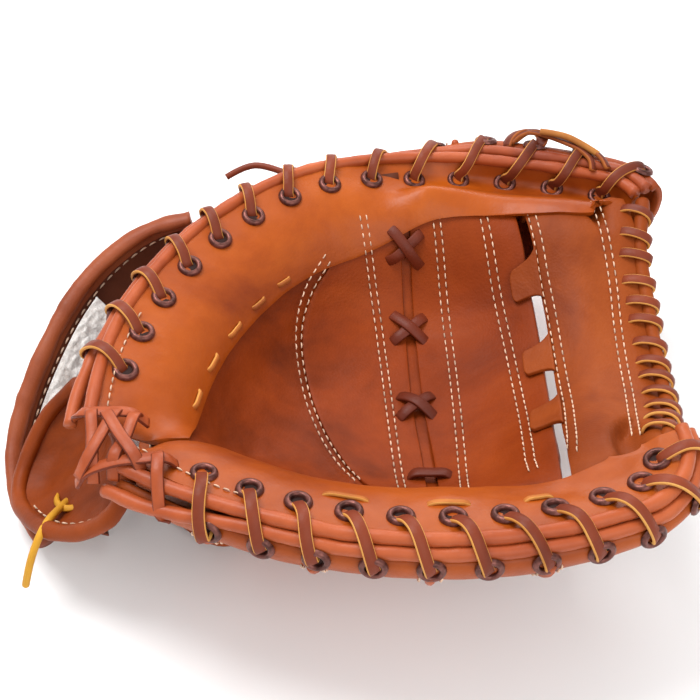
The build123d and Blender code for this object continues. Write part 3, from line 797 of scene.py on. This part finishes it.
def make_rim_lace(body, side):
    """A flat lace over both rolls at every eyelet, leaning along the rim."""
    rim = RIMS[body]
    batch = Batch()
    starts = eyelet_stations(body, 0.0)[: len(eyelet_stations(body, LACE_SHIFT))]
    for i, s in enumerate(starts):
        sway = math.sin(i * 2.4) * 0.9
        rise = 0.35 * math.sin(i * 1.7)
        heel = smoothstep((45.0 - s) / 45.0)
        hole, normal = flank_frame(body, s, PALM_EYELET)
        outward = unit(rim.section(s, 0.0, 0.0) - rim.section(s, 6.0, 0.0))
        route = [hole - normal * 4.0, hole - normal * 1.0 + outward * 0.6, hole + normal * 1.6 + outward * 2.0]
        for along, a, z in LACE_ROUTE:
            outer = smoothstep((4.0 - a) / 12.0)
            shift = HEEL_SPREAD[body][1][0] * heel * outer
            route.append(rim.section(s + along + sway * outer, a + shift, z + rise + 0.4 * shift * (z < 3)))
        path = smooth_path(route, 1.3)
        middle = rim.section(s + 5, 1.5, -6.0)
        ups = [unit(p - middle) for p in path]
        batch.add(*ribbon_mesh(path, ups, LACE_WIDTH * (1 + 0.05 * math.sin(i * 3.1)), LACE_THICK))
    obj = batch.build(f"rim_lace_{side}", [LACE, CUT_EDGE])
    finish_piece(obj, body, f"rim_lace_{side}", slot="lace")


for rim_body, rim_side in SIDE.items():
    make_rolls(rim_body, rim_side)
    make_eyelets(rim_body, rim_side)
    make_rim_lace(rim_body, rim_side)


# ---- stitching ---------------------------------------------------------------------------------------------
def stitch_path(batch, path, ups, length=3.0, gap=1.3, width=0.75):
    """A row of stitches along a path that lies on a surface."""
    path = np.asarray(path, float)
    ups = np.broadcast_to(np.asarray(ups, float), path.shape)
    travelled = travel(path)
    at = gap
    while at + length < travelled[-1]:
        spots = at + length * np.array((0.0, 0.2, 0.5, 0.8, 1.0))
        line = np.stack([np.interp(spots, travelled, path[:, k]) for k in range(3)], 1)
        up = unit(np.array([np.interp(at, travelled, ups[:, k]) for k in range(3)]))
        line += np.outer((-0.35, 0.25, 0.4, 0.25, -0.35), up)
        points, faces = tube_mesh(line, np.array((0.35, 0.9, 1.0, 0.9, 0.35)) * width / 2, up, 6)
        batch.add(points, faces)
        at += length + gap


def stitch_line(batch, line, lift, offsets):
    """Rows of stitches beside a plan line on the palm or web."""
    plan = smooth_path([(x, y, 0) for x, y in line], 1.5)[:, :2]
    along = np.gradient(plan, axis=0)
    beside = np.stack((-along[:, 1], along[:, 0]), 1) / np.linalg.norm(along, axis=1)[:, None]
    for offset in offsets:
        places = [on_surface(x, y, lift) for x, y in plan + beside * offset]
        stitch_path(batch, [p for p, _ in places], [n for _, n in places])


def make_stitching():
    rows = (("crescent_stitches", ((CRESCENT, 0.3),), (-3.6, -1.0)),
            ("pocket_stitches", ((LINE_A, 0.2),), (-1.6, 1.6)),
            ("web_inner_stitches", ((LINE_C, 1.3), (LINE_D, 1.3)), (-1.7, 1.7)),
            ("web_outer_stitches", ((LINE_F, 1.4), (LINE_G, 2.0)), (-1.7, 1.7)))
    for name, lines, offsets in rows:
        batch = Batch()
        for line, lift in lines:
            stitch_line(batch, line, lift, offsets)
        finish_piece(batch.build(name, [THREAD]), None, slot="lace")
    for body, side, last in ((THUMB, "thumb", 62), (FINGER, "finger", 50)):
        rim = RIMS[body]
        stations = np.arange(-8, last, 2.0)
        batch = Batch()
        inset = [7.4 + 1.4 * smoothstep((40 - s) / 40) for s in stations]
        path = [rim.section(s, a, -1.6) for s, a in zip(stations, inset)]
        stitch_path(batch, path, UP)
        finish_piece(batch.build(f"rim_stitches_{side}", [THREAD]), body, slot="lace")


make_stitching()


# ---- web details -------------------------------------------------------------------------------------------
TAB_PLACES = (57.5, 15.5, -24.0)
CROSSING_PLACES = (78.0, 50.0, 3.5)
CROSSING_BAR = ((26.0, -39.0), (29.0, -39.5), (36.0, -40.0), (43.0, -40.5), (46.0, -41.0))
EDGE_LACE_PITCH = 11.6
EDGE_ROLL_RADIUS = 3.3


def make_tabs():
    """Tabs of the outer panel that cross the slot and lie on the inner panel, flared where they join."""
    edge = resample(LINE_E2, 120)
    for i, y0 in enumerate(TAB_PLACES):
        rows, columns = 17, 14
        points = []
        for r in range(rows):
            across = 2 * r / (rows - 1) - 1
            for c in range(columns):
                t = c / (columns - 1)
                half = 7.2 + 1.3 * t + 3.4 * t**5
                rounded = 1.6 * abs(across) ** 6
                y = y0 + across * half + 1.5 * t
                x = float(np.interp(y, edge[::-1, 1], edge[::-1, 0])) - (12.6 - rounded) * (1 - t) + 1.4
                p, normal = on_surface(x, y, 2.6 + 1.0 * (1 - t) ** 2)
                points.append(p + normal * wrinkle(p, 14.0, 0.3, 4.0 + i))
        obj = thicken(make_object(f"web_tab_{i}", points, grid_faces(rows, columns), WEB_OUTER), TAB_LEATHER,
                      bevel=EDGE_ROUND)
        nodes = ("web_tabs_thumb", "web_tabs_finger") if i == 0 else ()
        finish_piece(obj, None, *nodes, slot="pocket_leather")


def surface_ribbon(batch, plan, lifts, width=LACE_WIDTH, thick=LACE_THICK):
    """A lace over the palm or web through plan points, each with its lift."""
    fine = smooth_path([(x, y, h) for (x, y), h in zip(plan, lifts)], 1.5)
    placed = [on_surface(x, y, h) for x, y, h in fine]
    batch.add(*ribbon_mesh([p for p, _ in placed], [n for _, n in placed], width, thick))


def make_cross_lace():
    batch = Batch()
    middle = resample(LINE_B, 200)
    for i, y0 in enumerate(CROSSING_PLACES):
        x0 = float(np.interp(y0, middle[::-1, 1], middle[::-1, 0])) + 2.0
        for sign, high in ((1, 2.6), (-1, 4.2)):
            rise = (5.0 if i == 0 else 7.0) * sign
            plan = [(x0 - 9, y0 - rise), (x0 - 5.5, y0 - 0.65 * rise), (x0, y0), (x0 + 5.5, y0 + 0.65 * rise),
                    (x0 + 9, y0 + rise)]
            surface_ribbon(batch, plan, (-1.5, 2.0, high, 2.0, -1.5), 5.4, 1.7)
    surface_ribbon(batch, CROSSING_BAR, (-1.5, 2.2, 2.6, 2.2, -1.5), 5.6, 1.7)
    obj = batch.build("web_cross_lace", [LACE_DARK, LACE_DARK])
    finish_piece(obj, None, "web_cross_lace_thumb", "web_cross_lace_finger", slot="lace")


def edge_frames():
    """Points along the web's free edge with tangent, outward and normal directions."""
    plan = resample(((143.5, 90.0),) + LINE_H[1:-1] + ((129.5, -60.0),), 110)
    path = np.array([on_surface(x, y, 0.2)[0] for x, y in plan])
    path[:, 2] = np.convolve(np.pad(path[:, 2], 6, mode="edge"), np.ones(13) / 13, mode="valid")
    result = []
    for p, t, (x, y) in zip(path, np.gradient(path, axis=0), plan):
        t = unit(t)
        outward = unit(np.cross(t, on_surface(x, y)[1]))
        outward = outward if outward[0] > 0 else -outward
        normal = unit(np.cross(t, outward))
        result.append((p, t, outward, normal if normal[2] > 0 else -normal))
    return result


def make_web_edge():
    frames = edge_frames()
    path = [p for p, *_ in frames]
    radii = [EDGE_ROLL_RADIUS * (1 + wrinkle(p, 12.0, 0.12, 6.0)) for p in path]
    points, faces = tube_mesh(path, radii, [n for *_, n in frames], 16)
    obj = make_object("web_edge_binding", points, faces, WEB_OUTER)
    finish_piece(obj, None, "web_edge_binding_thumb", "web_edge_binding_finger", slot="welt_leather")
    travelled = travel(path)
    batch = Batch()
    route = ((-3.2, -10.5, -2.0), (-3.0, -9.6, 1.0), (-2.0, -6.0, 3.6), (0.0, -0.5, 4.6), (1.6, 3.4, 3.0),
             (2.6, 4.7, 0.0), (3.0, 3.4, -3.4), (3.2, -1.0, -4.8))
    for i, at in enumerate(np.arange(9.0, travelled[-1] - 8.0, EDGE_LACE_PITCH)):
        k = int(np.searchsorted(travelled, at))
        p, t, outward, normal = frames[min(k, len(frames) - 1)]
        sway = 0.8 * math.sin(i * 2.1)
        line = smooth_path([p + t * (a * 0.8 + sway) + outward * b + normal * c for a, b, c in route], 1.2)
        centre = p + t * sway
        batch.add(*ribbon_mesh(line, [unit(q - centre + outward * 1.0) for q in line], 4.6, 1.4))
    obj = batch.build("web_edge_lace", [LACE, CUT_EDGE])
    finish_piece(obj, None, "web_edge_lace_thumb", "web_edge_lace_finger", slot="lace")


make_tabs()
make_cross_lace()
make_web_edge()


# ---- running lace in the creases, and heel laces -----------------------------------------------------------
def make_crease_lace():
    """Short runs of lace: along the thumb side's crease, and across the finger side's padding."""
    runs = ((THUMB, "thumb", ((24, 38), (52, 66), (80, 94), (106, 118), (130, 141))),
            (FINGER, "finger", ((75, 97), (120, 140), (162, 176))))
    for body, side, spans in runs:
        batch = Batch()
        for first, last in spans:
            path, ups = [], []
            for t in np.linspace(0, 1, 12):
                s = first + (last - first) * t
                a = flank_reach(body, s) - 2.5 if body == THUMB else 20.0
                p, normal = flank_frame(body, s, a)
                path.append(p + normal * (0.9 - 2.6 * (2 * t - 1) ** 6))
                ups.append(normal)
            batch.add(*ribbon_mesh(path, ups, 2.2, 1.3))
        finish_piece(batch.build(f"crease_lace_{side}", [CREASE_LACE, CUT_EDGE]), body, slot="lace")


def lace_piece(batch, route, up=UP, width=LACE_WIDTH, thick=LACE_THICK):
    """A lace through listed points, given in the frame with heights from the rim plane."""
    line = smooth_path([(x, y, RIM_HEIGHT + z) for x, y, z in route], 1.5)
    batch.add(*ribbon_mesh(line, up, width, thick))


HEEL_LACES = (
    ((-112, -50, -6), (-109, -53.5, 2.0), (-99, -55, 4.6), (-88, -54.5, 3.4), (-82, -54, -4)),
    ((-108, -80, -10), (-103, -79, -3.0), (-92, -78, 1.6), (-80, -78, 4.0), (-72, -77, 3.0), (-68, -76, -3)),
    ((-104, -51, 0), (-103.5, -56, 5.6), (-102, -66, 3.0), (-101, -76, 0.6), (-101, -81, -8)),
    ((-93, -51, 0), (-94, -56, 6.0), (-98, -66, 5.0), (-103, -76, 1.2), (-107, -80, -6)),
    ((-99, -52, 0), (-97, -57, 6.4), (-91, -67, 6.4), (-84, -77, 6.0), (-81, -81, 0)),
    ((-86, -52, -2), (-86.5, -57, 4.6), (-89, -67, 3.0), (-92, -76, 3.4), (-93, -81, -6)),
    ((-76, -74, 2), (-74.5, -78, 5.8), (-74, -86, 4.8), (-73.5, -93, -2.0), (-73, -96, -9.0), (-72, -94.5, -14)),
)


def make_heel_lace():
    batch = Batch()
    for route in HEEL_LACES:
        lace_piece(batch, route)
    finish_piece(batch.build("heel_lace", [ROLL, LACE]), None, "heel_lace_thumb", "heel_lace_finger", slot="lace")


# the knot at the thumb's tip, as distance along the rim, inward and up
TIP_KNOT = (
    ((287, -6, -7), (288, -9.5, -10), (291, -12.5, -14), (296, -14.5, -17), (301, -14, -15), (304, -11.5, -11),
     (303, -8.5, -8)),
    ((289, -8, -8), (293, -12, -11), (300, -14.5, -14), (309, -14, -13), (318, -13, -11), (327, -11, -8),
     (334, -8, -3), (338, -4, 1)),
    ((291, -9, -10), (297, -13.5, -13), (306, -13.5, -10), (315, -12, -7.5), (323, -10, -5), (329, -6.5, -1),
     (331, -2, 2.5)),
)


def make_tip_knot():
    batch = Batch()
    for width, route in zip((6.0, 3.2, 3.2), TIP_KNOT):
        path = smooth_path([THUMB_RIM.section(*place) for place in route], 1.5)
        middle = THUMB_RIM.section(305, -4.0, -8.0)
        ups = [unit(unit(p - middle) + UP) for p in path]
        batch.add(*ribbon_mesh(path, ups, width, 1.8))
    finish_piece(batch.build("tip_knot", [LACE, CREASE_LACE]), THUMB, slot="lace")


make_crease_lace()
make_heel_lace()
make_tip_knot()


# ---- wrist strap, fleece and flap --------------------------------------------------------------------------
STRAP_ROLL_RADIUS = 4.2
FLAP_ROLL_RADIUS = 4.0
STRAP_OUTER = ((-79, 88, -19), (-97, 84.5, -22), (-112, 77, -27), (-127, 65, -35), (-139, 48, -44), (-149, 25, -55),
               (-156, 4, -67), (-158, -16, -76), (-152, -38, -84), (-138, -56, -88))
STRAP_INNER = ((-60, 70, -48), (-72, 64, -56), (-82, 55, -64), (-91, 43, -72), (-99, 28, -80), (-106, 10, -87),
               (-111, -8, -91), (-114, -26, -93), (-113, -44, -93), (-108, -58, -92))


def strap_surface(rows, columns, first, last, start, end, lift, bow=5.0):
    """Points between the strap's rails; first to last along it, start to end across from the rolled edge."""
    outer = smooth_path(STRAP_OUTER, 1.0)
    inner = smooth_path(STRAP_INNER, 1.0)
    points = []
    for i in np.linspace(first, last, rows):
        a = np.array([np.interp(i, np.linspace(0, 1, len(outer)), outer[:, k]) for k in range(3)])
        b = np.array([np.interp(i, np.linspace(0, 1, len(inner)), inner[:, k]) for k in range(3)])
        for t in np.linspace(start, end, columns):
            down = unit(np.cross(b - a, (0.3, 1, 0.8)))
            down = down if down[2] < 0 else -down
            p = a + (b - a) * t + down * (bow * 4 * t * (1 - t) - lift)
            points.append(p + UP * RIM_HEIGHT)
    return points


def make_strap():
    points = strap_surface(60, 20, 0, 0.93, 0, 1, 0)
    points = [p + UP * wrinkle(p, 30.0, 0.9, 12.0) for p in points]
    kinds = [1 if j < 2 else 0 for _ in range(59) for j in range(19)]
    # The strap's upward face takes the lining leather, whose dark tone is partly painted shade.
    band = make_object("wrist_strap_band", points, grid_faces(60, 20), [LINING_AND_SHADE, STRAP], kinds)
    thicken(band, THICK_LEATHER, bevel=EDGE_ROUND)
    for polygon in band.data.polygons:
        if polygon.normal.z < 0.05:
            polygon.material_index = 1
    finish_piece(band, THUMB, "wrist_strap", slot="shell_leather")
    edge = smooth_path(STRAP_OUTER, 1.5) + UP * (RIM_HEIGHT + 1.0)
    radii = [STRAP_ROLL_RADIUS * (1 + wrinkle(p, 16.0, 0.16, 5.0)) for p in edge]
    points, faces = tube_mesh(edge, radii, (0.5, 0.2, 1.0), 18, 0.72)
    roll = make_object("strap_roll_leather", points, faces, STRAP)
    finish_piece(roll, THUMB, "strap_roll", slot="welt_leather")
    batch = Batch()
    row = strap_surface(60, 2, 0.04, 0.9, 0.13, 0.2, 1.0)[::2]
    stitch_path(batch, row, (0.4, -0.2, 1.0), 3.6, 1.8, 0.9)
    finish_piece(batch.build("strap_stitches", [THREAD]), THUMB, slot="lace")


def make_fleece():
    """Matted shearling: a pad whose surface is broken into small tufts."""
    rows, columns = 150, 70
    points = strap_surface(rows, columns, 0.31, 0.91, 0.15, 0.97, 3.4)
    raised = []
    for index, p in enumerate(points):
        i, j = divmod(index, columns)
        border = min(i, rows - 1 - i) / 8, min(j, columns - 1 - j) / 5
        edge = min(1.0, *border)
        tuft = noise.fractal(Vector(p / 3.4), 0.8, 2.1, 4)
        clump = noise.noise(Vector(p / 11.0))
        raised.append(p + np.array((0.25, 0.0, 0.95)) * (edge * (2.4 + 1.7 * tuft + 1.6 * clump)))
    pad = thicken(make_object("strap_fleece_wool", raised, grid_faces(rows, columns), FLEECE), 2.5)
    finish_piece(pad, THUMB, "strap_fleece", slot="fleece")


FLAP_BORDER = ((-124, 2, -46), (-138, -6, -58), (-147, -21, -70), (-149, -38, -75), (-141, -54, -70),
               (-126, -69, -60), (-110, -76, -50), (-96, -76, -38), (-90, -66, -28), (-94, -50, -22),
               (-101, -32, -22), (-111, -10, -34))


FLAP_LACE = ((-131, -38, -76), (-132, -43, -69), (-130, -50, -64.5), (-126, -54, -63), (-120, -53, -63),
             (-116, -48, -64), (-114, -42, -70))


def make_flap():
    """A petal with a rolled border, dished in the middle."""
    loop = smooth_path(FLAP_BORDER + FLAP_BORDER[:1], 2.0)[:-1]
    count = len(loop)
    centre = loop.mean(0)
    normal = unit(sum(np.cross(loop[i] - centre, loop[(i + 1) % count] - centre) for i in range(count)))
    normal = normal if normal[2] > 0 else -normal
    rings = 16
    points = []
    for r in range(rings):
        t = 1 - r / (rings - 1) * 0.98
        for p in loop:
            q = centre + (p - centre) * t
            upper = smoothstep((q[1] + 45.0) / 40.0)
            dish = -(9.0 + 8.0 * upper) * (1 - t**2) ** 0.8 + 4.0 * math.exp(-((1 - t) / 0.14) ** 2)
            folds = wrinkle(q, 22.0, 2.4, 8.0) * (1 - t**4) + wrinkle(q, 9.0, 0.5, 3.0)
            points.append(q + normal * (dish + folds) + UP * RIM_HEIGHT)
    faces = grid_faces(rings, count, wrap_columns=True)
    faces.append(tuple(range((rings - 1) * count, rings * count)))
    obj = make_object("wrist_flap_leather", points, faces, FLAP)
    thicken(obj, THICK_LEATHER, face=normal)
    finish_piece(obj, THUMB, "wrist_flap", slot="shell_leather")
    border = np.vstack((loop, loop[:2]))
    radii = [FLAP_ROLL_RADIUS * (1 + wrinkle(p, 14.0, 0.12, 1.0)) for p in border]
    points, faces = tube_mesh(border + UP * RIM_HEIGHT + normal * 3.0, radii, normal, 16, 0.9)
    finish_piece(make_object("flap_roll", points, faces, FLAP), THUMB, slot="welt_leather")
    batch = Batch()
    row = np.array([centre + (p - centre) * 0.86 + normal * 1.2 for p in loop]) + UP * RIM_HEIGHT
    stitch_path(batch, row[int(count * 0.3) : int(count * 0.58)], normal, 3.6, 1.8, 0.9)
    finish_piece(batch.build("flap_stitches", [THREAD]), THUMB, slot="lace")
    lace = Batch()
    lace_piece(lace, FLAP_LACE, normal, 3.0, 1.5)
    finish_piece(lace.build("flap_lace", [RAWHIDE, RAWHIDE]), THUMB, slot="lace")


make_strap()
make_fleece()
make_flap()


# ---- back of the mitt --------------------------------------------------------------------------------------
BACK_BOWL = ((-4.6, -6.4), (-7.2, -8.6), (-7.8, -12.4), (-5.4, -19.0), (0.0, -27.0), (9, -36.5), (24, -51.5),
             (39, -67), (53, -81), (66, -92), (80, -97.5), (104, -97.7))
BACK_TUBE = ((-4.6, -6.4), (-7.2, -8.6), (-7.8, -12.4), (-5.4, -19.0), (0.0, -27.0), (8, -35.5), (18, -44), (28, -49),
             (36, -49), (41, -47), (43, -43), (42, -37))
SHELL_ROWS = 34
PIPING_RADIUS = 1.9
BACK_STITCH_PLACES = (-4.2, 4.2)


def shell_profile(mix):
    points = np.array(BACK_BOWL) * (1 - mix) + np.array(BACK_TUBE) * mix
    return resample(points, SHELL_ROWS)


def keep_side(body, p, gap):
    """Moves a point to its own side of the fold, gap away from it."""
    short = gap - SIGN[body] * across_fold(p[0], p[1])
    if short > 0:
        p[:2] += FOLD_ACROSS * SIGN[body] * short
    return p


def shell_mix(body, s):
    return smoothstep((s - 205) / 55) if body == THUMB else smoothstep((s - 100) / 50)


def shell_squeeze(body, s):
    """How far the stall narrows as it rounds its tip."""
    if body == THUMB:
        return 1 - 0.62 * smoothstep((s - 318) / 26)
    return 1 - 0.3 * smoothstep((s - 188) / 20)


def make_back(body, side, first):
    rim = RIMS[body]
    stations = np.arange(first, rim.length + 0.1, 3.0)
    points = []
    for s in stations:
        squeeze = shell_squeeze(body, s)
        for a, z in shell_profile(shell_mix(body, s)):
            low = -7 + (z + 7) * (0.35 + 0.65 * squeeze)
            p = keep_side(body, rim.section(s, a * squeeze if a > 0 else a, low), 0.6)
            outward = np.array((*-rim.at(s)[2], 0))
            points.append(p + outward * wrinkle(p, 36.0, 0.7, 3.0))
    obj = make_object(f"back_shell_{side}", points, grid_faces(len(stations), SHELL_ROWS), BACK)
    thicken(obj, SHELL_LEATHER, face=(0, 0, -1))
    finish_piece(obj, body, f"back_leather_{side}", f"stall_leather_{side}", slot="shell_leather")


def make_back_seams(body, side, stations):
    """Piped seams down the back between its panels, with stitching beside them."""
    pipes, thread_rows = Batch(), Batch()
    for s in stations:
        mix, squeeze = shell_mix(body, s), shell_squeeze(body, s)
        dense = shell_profile(mix)[2 : SHELL_ROWS - 4]
        path, outs = [], []
        direction = np.gradient(dense, axis=0)
        for (a, z), (da, dz) in zip(dense, direction):
            p = keep_side(body, RIMS[body].section(s, a * squeeze if a > 0 else a, z), 0.6)
            inward = np.array((*RIMS[body].at(s)[2], 0))
            out = unit(inward * dz - UP * da)
            path.append(p + out * 0.6)
            outs.append(out)
        points, faces = tube_mesh(path, PIPING_RADIUS, outs, 10)
        pipes.add(points, faces)
        along = np.array((*RIMS[body].at(s)[1], 0))
        for shift in BACK_STITCH_PLACES:
            stitch_path(thread_rows, np.array(path) + along * shift - np.array(outs) * 0.2, outs, 4.0, 2.0, 1.0)
    finish_piece(pipes.build(f"back_piping_{side}", [ROLL]), body, slot="welt_leather")
    finish_piece(thread_rows.build(f"back_stitches_{side}", [THREAD]), body, slot="lace")


def make_hand_back():
    """The soft leather under the back of the hand, pressed flat where the mitt rests."""
    rows, columns = 40, 40
    points = []
    for i in range(rows):
        x = -104 + 112 * i / (rows - 1)
        low = FOLD_POINT[1] + (x - FOLD_POINT[0]) * math.tan(FOLD_HEADING) + 1.0 + 36.0 * smoothstep((-55 - x) / 49)
        high = 40.0 - 20.0 * smoothstep((x + 40) / 45)
        for j in range(columns):
            t = j / (columns - 1)
            y = low + (high - low) * t
            dome = 3.4 + 2.2 * (2 * t - 1) ** 4 + 2.0 * smoothstep((-80 - x) / 24)
            points.append(np.array((x, y, dome)))
    obj = thicken(make_object("hand_back", points, grid_faces(rows, columns), BACK), 2.8, bevel=0.8)
    finish_piece(obj, THUMB, "hand_back_plate", slot="shell_leather")
    batch = Batch()
    for x in (-98.0, -94.0):
        stitch_path(batch, [(x, y, 6.4) for y in np.arange(-20, 36, 3.0)], UP, 4.4, 2.2, 1.0)
    finish_piece(batch.build("hand_back_stitches", [THREAD]), THUMB, slot="lace")


def make_lining():
    """Glove lining under the padding, seen from the wrist."""
    for body, side in SIDE.items():
        rim = RIMS[body]
        first, last = (4, 232) if body == THUMB else (4, 120)
        stations = np.linspace(first, last, 60)
        points = []
        for s in stations:
            point, _, inward = rim.at(s)
            reach = flank_reach(body, s) + 22
            for t in np.linspace(0.16, 1.0, 20):
                x, y = point + inward * reach * t
                depth = -4.0 - 11.5 * smoothstep((t - 0.1) / 0.35)
                points.append(keep_side(body, on_surface(x, y, depth)[0], 1.0))
        # The lining's dark leather is partly painted shade for the hollow inside the mitt.
        obj = thicken(make_object(f"glove_lining_{side}", points, grid_faces(60, 20), LINING_AND_SHADE), LINING_LEATHER)
        finish_piece(obj, body, f"glove_lining_{side}", slot="lining")


make_back(THUMB, "thumb", 96.0)
make_back(FINGER, "finger", -6.0)
make_back_seams(THUMB, "thumb", (122.0, 168.0, 214.0, 262.0))
make_back_seams(FINGER, "finger", (34.0, 78.0, 122.0, 166.0))
make_hand_back()
make_lining()
